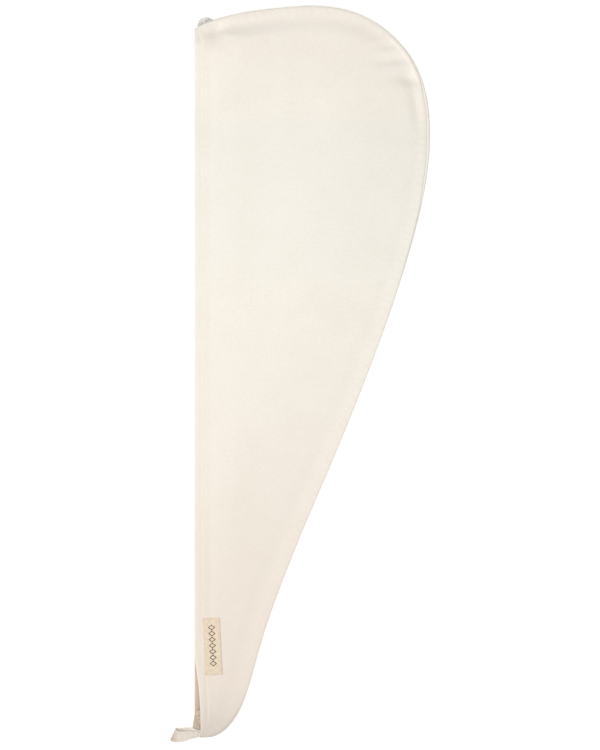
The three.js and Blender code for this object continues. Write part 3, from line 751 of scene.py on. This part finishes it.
share = np.linspace(*ALLOWANCE_SHARES, ALLOWANCE_ROWS)
root, inward = at_share(seam_line, share), at_share(seam_inward, share)
rise, roll = at_share(seam_edge, share) / 2, at_share(seam_roll, share)
behind_rim = 1 - RIM_WALL / RIM_HALF
near_at = EDGE_REACH - behind_rim * EDGE_REACH * np.cos(roll)
near_high = rise + behind_rim * rise * np.sin(roll)

tail_start = root[-1] + inward[-1] * ALLOWANCE_MIDDLE
tail_line, tail_places = smooth_curve(np.vstack([tail_start, ALLOWANCE_TAIL[:, :2]]), 12)
tail_line, tail_places = tail_line[1:], tail_places[1:]
tail_inward = inward_of(unit(np.gradient(tail_line, axis=0)))
tail_high = by_row(np.concatenate([[ALLOWANCE_LEVEL], ALLOWANCE_TAIL[:, 2]]), tail_places, soft=False)
tail_thick = by_row(np.concatenate([[BAND_HALF], ALLOWANCE_TAIL[:, 3]]), tail_places, soft=False)
settle = smooth(0, 1, tail_places)

band = {
    "root": np.vstack([root, tail_line - tail_inward * ALLOWANCE_MIDDLE]),
    "inward": np.vstack([inward, tail_inward]),
    "near_at": np.concatenate([near_at, near_at[-1] * (1 - settle) + 3.4 * settle]),
    "near_high": np.concatenate([near_high, near_high[-1] * (1 - settle) + tail_high * settle]),
    "high": np.concatenate([np.full(ALLOWANCE_ROWS, ALLOWANCE_LEVEL), tail_high]),
    "thick": np.concatenate([np.full(ALLOWANCE_ROWS, BAND_HALF), tail_thick]),
}
print("rows of the band:", len(band["high"]))

# %% Its cross-sections
def band_column(at_part, side):
    """A column of the band: at_part is 0 behind the seam and 1 at the raw edges, side -1 to 1 its height."""
    at = band["near_at"] * (1 - at_part) + ALLOWANCE_FAR * at_part
    drop = smooth(0, 0.4, at_part)
    high = band["near_high"] * (1 - drop) + band["high"] * drop
    half = 0.5 * (1 - drop) + band["thick"] * drop
    place = band["root"] + band["inward"] * at[:, None]
    lift = button_lift(place[:, 0], place[:, 1])
    ceiling = upper_height(place[:, 0], place[:, 1]) - lift - CLOTH - THREAD_ROOM
    half = np.minimum(half, (ceiling - CLOTH - THREAD_ROOM) / 2)
    high = np.minimum(high, ceiling - half)
    frayed = FRAY * np.sin(np.arange(len(at)) * 1.9 + 5 * side) * smooth(0.8, 1.0, at_part)
    return np.column_stack([place + band["inward"] * frayed[:, None], high + side * half + lift])


BAND_UNDER = [(0.0, -1), (0.12, -1), (0.25, -1), (0.4, -1), (0.6, -1), (0.8, -1), (0.97, -1), (1.0, -0.75),
              (1.0, -0.3), (0.95, -0.06)]
BAND_PROFILE = BAND_UNDER + [(at_part, -side) for at_part, side in reversed(BAND_UNDER)]
band_rings = np.stack([band_column(*spot) for spot in BAND_PROFILE], axis=1)
band_length = running_length(band_rings[:, 7])
band_flat = np.stack([np.column_stack([np.full(len(band_length), BAND_WIDTH * part), band_length])
                      for part, _ in BAND_PROFILE], axis=1)
# the band takes the inner cotton, with its painted shade
seam_band = wrapped_grid("seam_allowance", band_rings, band_flat, materials=(shaded_inside_cotton,))
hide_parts("inner_seam")
print("band length, mm:", round(float(band_length[-1]), 1))

# %% The overlock thread
OVERLOCK_PITCH = 3.0
OVERLOCK_TURN = [(0.0, 1.1), (0.45, 1.16), (0.9, 1.12), (1.0, 0.4), (1.0, -0.4), (0.9, -1.1), (0.45, -1.12),
                 (0.0, -1.1), (-0.03, 0.0)]
NEEDLE_LINE, TAIL_NEEDLE_LINE = 0.42, 0.06


def thread_mesh(name, lines, radius, material, roundness=1):
    """Round threads along lines of points, as one mesh piece."""
    curve = bpy.data.curves.new(name, "CURVE")
    curve.dimensions = "3D"
    curve.bevel_depth, curve.bevel_resolution, curve.use_fill_caps = radius * MM, roundness, True
    for line in lines:
        spline = curve.splines.new("POLY")
        spline.points.add(len(line) - 1)
        spline.points.foreach_set("co", np.column_stack([in_frame(line), np.ones(len(line))]).ravel())
    holder = bpy.data.objects.new(name, curve)
    shape = bmesh.new()
    shape.from_mesh(bpy.data.meshes.new_from_object(holder))
    bpy.data.objects.remove(holder)
    for face in shape.faces:
        face.smooth = True
    return finished(name, shape, (material,))


from_end = band_length[-1] - band_length
needle = TAIL_NEEDLE_LINE + (NEEDLE_LINE - TAIL_NEEDLE_LINE) * smooth(18, 30, from_end)
overlock_columns = [band_column(needle + (1.04 - needle) * part, side) for part, side in OVERLOCK_TURN]
turns = int((band_length[-1] - 2) / OVERLOCK_PITCH)
overlock_line = []
for turn in range(turns):
    for step, column in enumerate(overlock_columns):
        length = 1 + (turn + step / len(overlock_columns)) * OVERLOCK_PITCH
        overlock_line.append(read_off(length, band_length, column))
beige_thread = twisted_thread("beige_overlock_thread", "#c4ad8b", "#93785a")
overlock = thread_mesh("overlock_thread", [np.array(overlock_line)], 0.3, beige_thread)

# %% [markdown]
# ## The strap at the tail
# A strap of cotton tape is folded into a loop and sewn into the tail tip, so that the button can be
# hooked through it. Its two runs lie on each other, the fold at the far end. The tape is a strip of woven
# cotton with its edges turned in and stitched down, so each edge is thick and has a groove beside it.
# The tape's colour is painted darker towards the fold's end as shade, and a bar tack, a dense row of
# stitches, shuts the loop at the tail.

# %% The strap
TAPE = 1.3
LOOP_ROWS = np.array([  # x, y, z, width, skew
    (9.6, 6.0, 6.3, 5.4, 0),
    (4.6, 3.9, 6.3, 6.6, 0),
    (0.0, 3.2, 6.3, 7.6, 0),
    (-5.0, 2.5, 5.9, 8.8, 2),
    (-11.0, 1.1, 4.9, 11.0, 6),
    (-17.0, 0.9, 4.2, 12.2, 13),
    (-21.0, 1.9, 3.8, 12.8, 21),
    (-22.2, 3.3, 2.4, 13.2, 24),
    (-20.6, 4.4, 1.1, 12.4, 20),
    (-16.0, 5.2, 1.0, 10.2, 8),
    (-9.0, 5.6, 1.1, 10.2, 2),
    (-4.0, 6.3, 2.6, 9.4, 0),
    (0.0, 5.6, 4.4, 8.2, 0),
    (4.6, 4.9, 4.6, 6.8, 0),
    (9.6, 6.2, 4.6, 5.4, 0),
])
TAPE_HALF = [(0.5, 0.12), (0.49, 0.38), (0.455, 0.52), (0.38, 0.54), (0.31, 0.5), (0.285, 0.36), (0.275, 0.1),
             (0.245, 0.1), (0.235, 0.36), (0.16, 0.42), (0.06, 0.42)]
TAPE_TOP = TAPE_HALF + [(-across, thick) for across, thick in reversed(TAPE_HALF)]

loop_line, loop_places = smooth_curve(LOOP_ROWS[:, :3], 12)
loop_wide = by_row(LOOP_ROWS[:, 3], loop_places, soft=False)
loop_skew = np.radians(by_row(LOOP_ROWS[:, 4], loop_places, soft=False))
loop_way = np.gradient(loop_line, axis=0)
loop_across = np.stack([np.sin(loop_skew), np.cos(loop_skew), np.zeros(len(loop_skew))], axis=1)
loop_normal = unit(np.cross(loop_way, loop_across))
loop_length = running_length(loop_line)


def tape_column(across, thick):
    """A column of the tape: across is a share of its width, thick a share of its thickness."""
    return loop_line + loop_across * (across * loop_wide)[:, None] + loop_normal * thick * TAPE


tape_spots = TAPE_TOP + [(across, -thick) for across, thick in reversed(TAPE_TOP)]
tape_rings = np.stack([tape_column(*spot) for spot in tape_spots], axis=1)
tape_flat = np.stack([np.column_stack([loop_length, across * loop_wide]) for across, _ in tape_spots], axis=1)
# painted shade: the tape is darker towards its fold's end, by its place along X
TAPE_PAINTED_SHADE = ("X", -0.1365, -0.100, (0.0, "#b0a79f"), (0.07, "#d6cec7"), (0.16, "#eee8e4"), (0.26, "#fafafa"))
cotton_tape = ribbed_cotton("woven_cotton_tape", "#f3ede5", "#ece4da", "#e0d6ca", 0.1, 0.9, 1.3, TAPE_PAINTED_SHADE)
strap = wrapped_grid("strap_loop", tape_rings, tape_flat, materials=(cotton_tape,))
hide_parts("tail_loop")

# %% Its stitches
TAPE_STITCH, TACK_STITCH, TACK_ROW = (2.8, 2.2, 0.5, 0.4), (0.62, 0.6, 3.6, 0.8), 18
strap_row = bmesh.new()
for across, thick in ((0.35, 0.54), (-0.35, 0.54), (0.35, -0.54), (-0.35, -0.54)):
    stitch_row(strap_row, tape_column(across, thick), *TAPE_STITCH)
tack_ends = tape_column(0.36, -0.5)[TACK_ROW], tape_column(-0.36, -0.5)[TACK_ROW]
stitch_row(strap_row, np.linspace(*tack_ends, 20) + [0, 0, 0.1], *TACK_STITCH)
strap_stitches = finished("strap_stitches", strap_row, (cream_thread,))

# %% [markdown]
# ## The woven label
# A damask label is woven in fine yarn on a narrow loom, so its face has lines along its length. Its two
# ends are folded under and it is sewn down all round. Ours carries a plain row of hollow lozenges and
# nothing else, each woven from short floats of brown yarn. The label follows the cloth, because it takes
# its height from the same function.

# %% The label
LABEL = {"x": 19.3, "y": 96.2, "width": 18.2, "length": 59.6, "thick": 0.44, "turn": 2.9, "clear": 0.12}
LABEL_FOLD, FOLD_EXTRA = 4.2, 0.16
SIDE_STITCHES, END_STITCHES, STITCH_PULL = 1.2, 1.3, 0.14
LABEL_ACROSS, LABEL_ALONG = np.linspace(-0.5, 0.5, 22), np.linspace(-0.5, 0.5, 72)
label_turn = math.radians(LABEL["turn"])
label_across = np.array([math.cos(label_turn), math.sin(label_turn)])
label_along = np.array([-math.sin(label_turn), math.cos(label_turn)])


def on_label(across, along, high):
    """Points over the label: shares of its width and length, and millimetres over the cloth."""
    across, along, high = np.broadcast_arrays(np.asarray(across, float), along, high)
    place = (np.array([LABEL["x"], LABEL["y"]]) + across[..., None] * LABEL["width"] * label_across
             + along[..., None] * LABEL["length"] * label_along)
    level = upper_height(place[..., 0], place[..., 1])
    return np.concatenate([place, (level + high)[..., None]], axis=-1)


def label_relief(across, along):
    """Folded ends are thicker, and the stitches pull the label down near its edges."""
    from_end = (0.5 - np.abs(along)) * LABEL["length"]
    from_side = (0.5 - np.abs(across)) * LABEL["width"]
    fold = FOLD_EXTRA * (1 - smooth(LABEL_FOLD - 0.5, LABEL_FOLD + 0.3, from_end))
    pull = STITCH_PULL * (bell(from_end - END_STITCHES, 0.7) + bell(from_side - SIDE_STITCHES, 0.7))
    edge = 0.1 * (1 - smooth(0, 0.5, np.minimum(from_end, from_side)))
    return LABEL["thick"] - FOLD_EXTRA + fold - pull - edge


label_rings, label_flat = [], []
for across, top in [(spot, 1) for spot in LABEL_ACROSS] + [(spot, 0) for spot in LABEL_ACROSS[::-3]]:
    level = LABEL["clear"] + top * label_relief(across, LABEL_ALONG)
    label_rings.append(on_label(across, LABEL_ALONG, level))
    flat_across = np.full(len(LABEL_ALONG), across * LABEL["width"])
    label_flat.append(np.column_stack([flat_across, LABEL_ALONG * LABEL["length"]]))
print("columns round the label:", len(label_rings))

# %% Its material
WARP, WEFT = 0.8, 0.5
label_weave, add = new_material("damask_label_tape")
flat = add("UVMap", uv_map="cloth").outputs["UV"]
warp = add("TexWave", {"Vector": flat, "Scale": waves(WARP), "Distortion": 0.6}, bands_direction="X")
weft = add("TexWave", {"Vector": flat, "Scale": waves(WEFT)}, bands_direction="Y").outputs["Fac"]
uneven = add("TexNoise", {"Vector": flat, "Scale": 300.0, "Detail": 3.0}).outputs["Fac"]
lines = add("Math", {0: warp.outputs["Fac"], 1: 0.5, 2: uneven}, operation="MULTIPLY_ADD").outputs["Value"]
relief = add("Math", {0: weft, 1: 0.3, 2: lines}, operation="MULTIPLY_ADD").outputs["Value"]
tans = ((0.35, "#d6c4a8"), (0.7, "#eadac2"), (1.0, "#f3e6d2"))
tan = add("ValToRGB", {"Fac": lines}, tans).outputs["Color"]
along = add("SeparateXYZ", {0: flat}).outputs["Y"]
from_middle = add("Math", {0: along}, operation="ABSOLUTE").outputs["Value"]
fold_start = (LABEL["length"] / 2 - LABEL_FOLD) * MM
folded = add("MapRange", {"Value": from_middle, "From Min": fold_start, "From Max": fold_start + 0.6 * MM})
tan = add("Mix", {"Factor": folded.outputs["Result"], "A": tan, "B": linear("#fefcfa")},
          data_type="RGBA", blend_type="MULTIPLY").outputs["Result"]
finish_surface(add, tan, relief, 0.08 * MM, {"Roughness": 0.8, "Sheen Weight": 0.1})

woven_label = wrapped_grid("woven_label", np.stack(label_rings, axis=1), np.stack(label_flat, axis=1),
                           materials=(label_weave,))
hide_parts("label")

# %% Its stitches and its woven lozenges
LABEL_TOP, LABEL_STITCH = LABEL["thick"] + LABEL["clear"] - 0.13, (2.4, 1.8, 0.45, 0.3)


def label_line(ends, along_ends):
    """A stitch line over the label, from and to shares of its width and of its length."""
    return on_label(np.linspace(*ends, 40), np.linspace(*along_ends, 40), LABEL_TOP - 0.07)


SIDE, END = 0.5 - SIDE_STITCHES / LABEL["width"], 0.5 - END_STITCHES / LABEL["length"]
label_row = bmesh.new()
for ends, along_ends in (((-SIDE, SIDE), (END, END)), ((-SIDE, SIDE), (-END, -END)),
                         ((-SIDE, -SIDE), (-END, END)), ((SIDE, SIDE), (-END, END))):
    stitch_row(label_row, label_line(ends, along_ends), *LABEL_STITCH)
tan_thread = twisted_thread("tan_label_thread", "#e6d8c0", "#d2bf9f")
label_stitches = finished("label_stitches", label_row, (tan_thread,))

LOZENGES, LOZENGE_HALF, FLOAT_PITCH = 7, 4.0, 0.46
LOZENGE_STEPS, LOZENGE_PITCH, LOZENGE_RIM = 6, 6.3, 1.7
brown_yarn = twisted_thread("brown_label_yarn", "#6e5c50", "#4c3e36")
lozenge_floats = bmesh.new()
for lozenge in range(LOZENGES):
    middle = (lozenge - (LOZENGES - 1) / 2) * LOZENGE_PITCH + 1.0
    for step in range(-LOZENGE_STEPS, LOZENGE_STEPS + 1):
        outer = LOZENGE_HALF * (1 - abs(step) / (LOZENGE_STEPS + 1))
        inner = outer - LOZENGE_RIM
        spans = [(-outer, -inner), (inner, outer)] if inner > 0.3 else [(-outer, outer)]
        for start, stop in spans:
            places = np.linspace(start, stop, 3) / LABEL["width"]
            ends = on_label(places, (middle + step * FLOAT_PITCH) / LABEL["length"], LABEL_TOP)
            stitch_row(lozenge_floats, ends, stop - start, stop - start, FLOAT_PITCH, 0.3)
lozenges = finished("label_lozenges", lozenge_floats, (brown_yarn,))

# %% [markdown]
# ## The button
# The button is a four-hole polyester one, cast to look like river shell: grey, mottled, with a satin
# polish. It lies face down under the lifted corner. Its profile is spun round its axis, and a Boolean
# with four rods drills the holes, as the factory does.

# %% The button
button_centre = Vector(in_frame((BUTTON["x"], BUTTON["y"], 0)))
BUTTON_PROFILE = [  # radius, height
    (0.0, 1.1), (4.5, 1.1), (6.4, 1.02), (7.2, 0.7), (7.7, 0.25), (8.1, 0.04), (8.55, 0.04), (8.95, 0.16),
    (9.22, 0.42), (9.35, 0.8), (9.35, 1.9), (9.24, 2.35), (8.95, 2.66), (8.4, 2.82), (7.0, 2.9), (4.0, 3.0),
    (0.0, 3.0),
]
HOLE_RADIUS, HOLE_OFFSET = 0.95, 2.0

disc = bmesh.new()
outline = [disc.verts.new((radius * MM, 0, height * MM)) for radius, height in BUTTON_PROFILE]
edges = [disc.edges.new(pair) for pair in zip(outline, outline[1:])]
bmesh.ops.spin(disc, geom=outline + edges, axis=(0, 0, 1), cent=(0, 0, 0), angle=2 * math.pi, steps=96,
               use_merge=True)
bmesh.ops.remove_doubles(disc, verts=disc.verts, dist=0.001 * MM)
bmesh.ops.recalc_face_normals(disc, faces=disc.faces)
bmesh.ops.translate(disc, verts=disc.verts, vec=button_centre)

rods = bmesh.new()
for side_x in (-1, 1):
    for side_y in (-1, 1):
        hole = button_centre + Vector((side_x * HOLE_OFFSET * MM, side_y * HOLE_OFFSET * MM, 1.5 * MM))
        bmesh.ops.create_cone(rods, segments=20, radius1=HOLE_RADIUS * MM, radius2=HOLE_RADIUS * MM,
                              depth=6 * MM, cap_ends=True, matrix=Matrix.Translation(hole))
print("corners of the disc's mesh:", len(disc.verts))

# %% Its material
shell, add = new_material("shell_look_polyester")
place = add("TexCoord").outputs["Object"]
cloud = add("TexNoise", {"Vector": place, "Scale": 420.0, "Detail": 5.0, "Distortion": 1.2}).outputs["Fac"]
fleck = add("TexVoronoi", {"Vector": place, "Scale": 700.0}).outputs["Distance"]
mottle = add("Math", {0: fleck, 1: 0.35, 2: cloud}, operation="MULTIPLY_ADD").outputs["Value"]
greys = ((0.42, "#949292"), (0.52, "#bfbdbc"), (0.64, "#e0dedc"), (0.8, "#f3f1ef"))
grey = add("ValToRGB", {"Fac": mottle}, greys).outputs["Color"]
finish_surface(add, grey, cloud, 0.03 * MM, {"Roughness": 0.3, "Coat Weight": 0.4, "Coat Roughness": 0.15})

# %% Drill it
shell_button = finished("shell_button", disc, (shell,))
rod_piece = finished("hole_rods", rods, body=None)
drill = shell_button.modifiers.new("holes", "BOOLEAN")
drill.operation, drill.object, drill.solver = "DIFFERENCE", rod_piece, "EXACT"
bpy.context.view_layer.update()
drilled = bpy.data.meshes.new_from_object(shell_button.evaluated_get(bpy.context.evaluated_depsgraph_get()))
shell_button.modifiers.clear()
shell_button.data = drilled
bpy.data.objects.remove(rod_piece)
shell_button.data.set_sharp_from_angle(angle=math.radians(40))
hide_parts("button")
print("button faces:", len(shell_button.data.polygons))

# %% Its thread
def strand(side, lean):
    """One turn of thread: across the dish, up through two holes and together in the shank."""
    x = BUTTON["x"] + side * HOLE_OFFSET
    y = BUTTON["y"]
    low = [(x + lean, y + k * HOLE_OFFSET, 0.62 - 0.1 * (1 - k * k)) for k in (-1, -0.5, 0, 0.5, 1)]
    start = [(BUTTON["x"] + lean, y - 0.6, 4.3), (x * 0.7 + BUTTON["x"] * 0.3, y - HOLE_OFFSET * 0.8, 3.5),
             (x + lean, y - HOLE_OFFSET, 3.0)]
    stop = [(a, 2 * y - b, c) for a, b, c in reversed(start)]
    return np.array(start + low + stop)


strands = [strand(side, lean) for side in (-1, 1) for lean in (-0.35, 0, 0.35)]
button_thread = thread_mesh("button_stitches", strands, 0.26, cream_thread, roundness=2)
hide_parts("button_thread")

shank = bmesh.new()
bmesh.ops.create_cone(shank, segments=24, radius1=1.7 * MM, radius2=1.5 * MM, depth=1.1 * MM, cap_ends=True,
                      matrix=Matrix.Translation(button_centre + Vector((0, 0, 3.65 * MM))))
bmesh.ops.bevel(shank, geom=[e for e in shank.edges if len(e.link_faces) == 2 and e.calc_face_angle() > 1],
                offset=0.25 * MM, offset_type="OFFSET", segments=3, profile=0.5, affect="EDGES", material=-1)
for face in shank.faces:
    face.smooth = True
button_shank = finished("button_shank", shank, (cream_thread,))

# %% [markdown]

# %% [markdown]
# ## Camera, floor and light
# The towel is seen from straight above on a sheet of opal acrylic that glows a little, so it throws
# hardly a shadow. A soft box hangs over it, and a bigger one stands to its left: that slanting light is
# what shows folds in pale cloth. A long lens keeps the edges from leaning. The camera is placed for a
# frame of 600 by 750 pixels, where one pixel is 1.05 mm of towel.

# %% Camera
PIXEL, PIXELS_WIDE, PIXELS_HIGH = 1.05, 600, 750
FRAME_HIGH = PIXELS_HIGH * PIXEL * MM
CAMERA_AWAY, EDGE_LEVEL, SENSOR = 5.0, 5 * MM, 36
HEM_PIXEL, TIP_PIXEL = 194.25, 737.7

camera = bpy.data.objects.new("camera", bpy.data.cameras.new("camera"))
bpy.context.scene.collection.objects.link(camera)
camera.data.sensor_width = SENSOR
camera.data.lens = SENSOR * CAMERA_AWAY / FRAME_HIGH
camera.location = (SHIFT_X + (PIXELS_WIDE / 2 - HEM_PIXEL) * PIXEL * MM,
                   SHIFT_Y + (TIP_PIXEL - PIXELS_HIGH / 2) * PIXEL * MM, CAMERA_AWAY + EDGE_LEVEL)
bpy.context.scene.camera = camera
print("lens, mm:", round(camera.data.lens, 1))

# %% Floor
opal, add = new_material("opal_acrylic_light_table")
place = add("TexCoord").outputs["Object"]
grain = add("TexNoise", {"Vector": place, "Scale": 3.3, "Detail": 2.0}).outputs["Fac"]
white = add("ValToRGB", {"Fac": grain}, ((0.3, "#f2f2f1"), (0.7, "#f4f4f4"))).outputs["Color"]
finish_surface(add, white, grain, 0.02 * MM, {
    "Roughness": 0.9, "Emission Color": linear("#ffffff"), "Emission Strength": 0.4})
table_top = bmesh.new()
bmesh.ops.create_grid(table_top, x_segments=8, y_segments=8, size=6)
bmesh.ops.translate(table_top, verts=table_top.verts, vec=(0, 0, -0.1 * MM))
floor = finished("floor", table_top, (opal,), body=None)

# %% Light
LIGHT_WHITE = "#fffdfb"
world = bpy.data.worlds.new("soft_white_room")
bpy.context.scene.world = world
world.use_nodes = True
background = world.node_tree.nodes["Background"].inputs
background["Color"].default_value, background["Strength"].default_value = linear(LIGHT_WHITE), 0.45


def soft_box(name, place, aim, size, watts):
    """A square area light at place that faces aim."""
    lamp = bpy.data.lights.new(name, "AREA")
    lamp.size, lamp.energy, lamp.color = size, watts, linear(LIGHT_WHITE)[:3]
    box = bpy.data.objects.new(name, lamp)
    bpy.context.scene.collection.objects.link(box)
    box.location = place
    box.rotation_euler = (Vector(aim) - Vector(place)).to_track_quat("-Z", "Y").to_euler()
    print(f"{name}: {watts} W")


soft_box("overhead_light", (-0.01, 0.1, 0.9), (-0.01, 0.1, 0), 0.5, 3.2)
soft_box("side_light", (-2.2, -1.2, 2.8), (0, 0, 0), 1.4, 52)
bpy.context.scene.view_settings.view_transform = "Standard"
